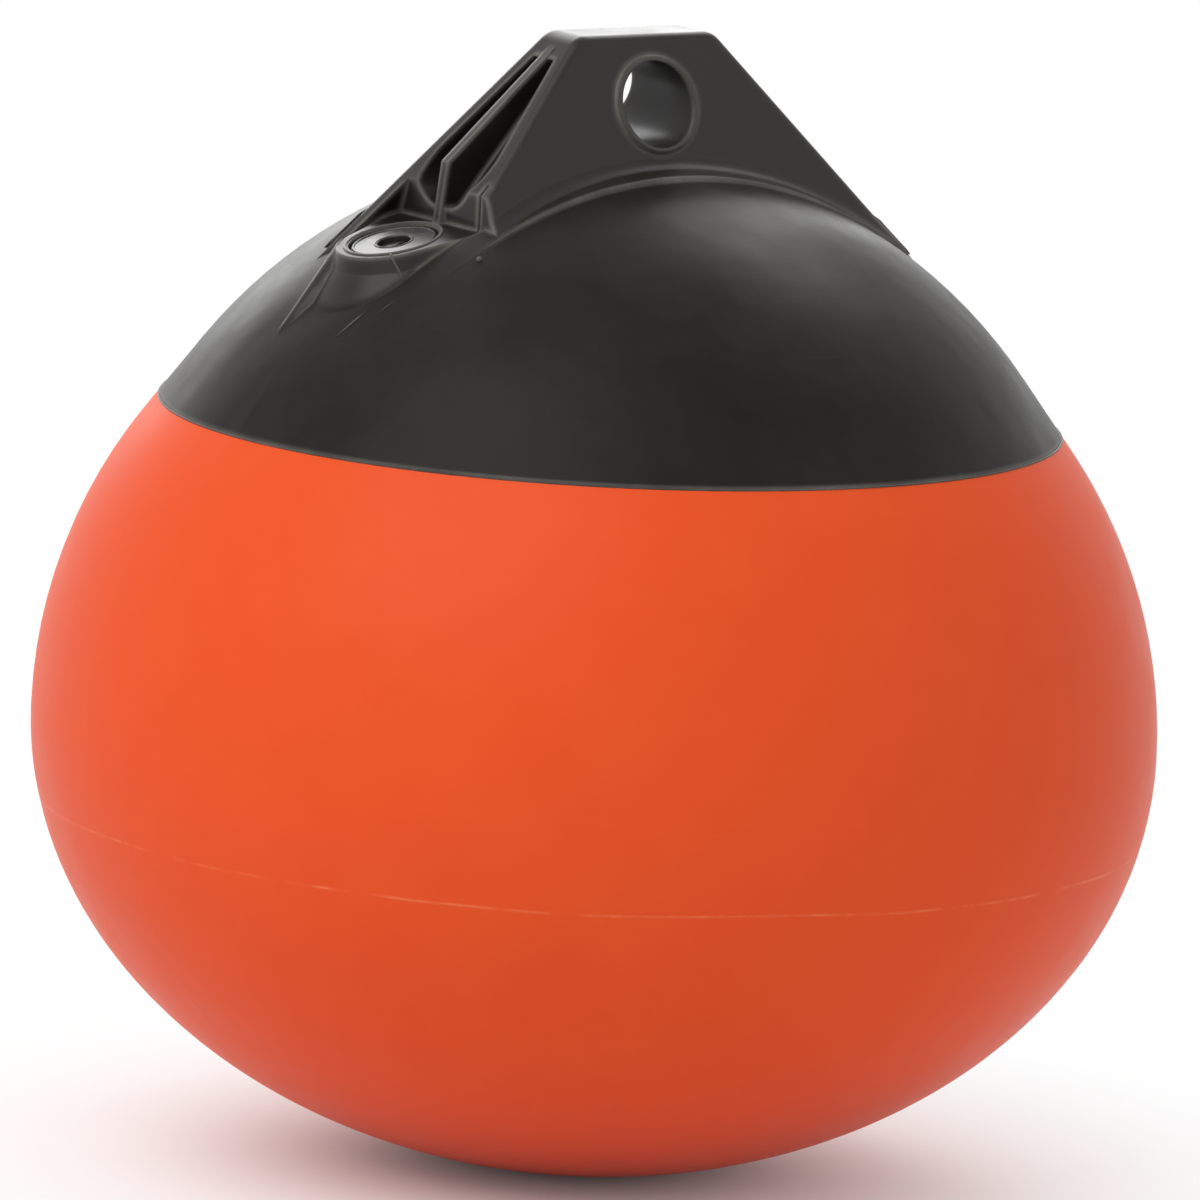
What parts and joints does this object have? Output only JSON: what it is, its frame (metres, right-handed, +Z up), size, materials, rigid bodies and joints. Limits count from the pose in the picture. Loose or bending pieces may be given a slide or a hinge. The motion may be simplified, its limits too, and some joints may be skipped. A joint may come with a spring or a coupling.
{
  "type": "inflatable mooring buoy",
  "caption": "Squat pear-shaped inflatable mooring buoy in orange vinyl, with a moulded black crown that carries a rope eye and an inflation valve.",
  "frame": {"origin": "on the ground, at the centre of the flat foot", "axes": "+Z up through the rope eye's block, +Y along the bore of the rope eye, -X towards the inflation valve"},
  "size_m": [0.375, 0.3748, 0.381],
  "materials": {
    "float_vinyl": "satin",
    "crown_vinyl": "satin",
    "valve_seat_plastic": "satin",
    "valve_plug_plastic": "satin",
    "seal_rubber": "matte"
  },
  "bodies": {
    "root": {"float_body": "float_vinyl", "ropehold_crown": "crown_vinyl", "valve_seat": "valve_seat_plastic", "valve_plug": "valve_plug_plastic", "valve_seal": "seal_rubber"}
  },
  "joints": []
}
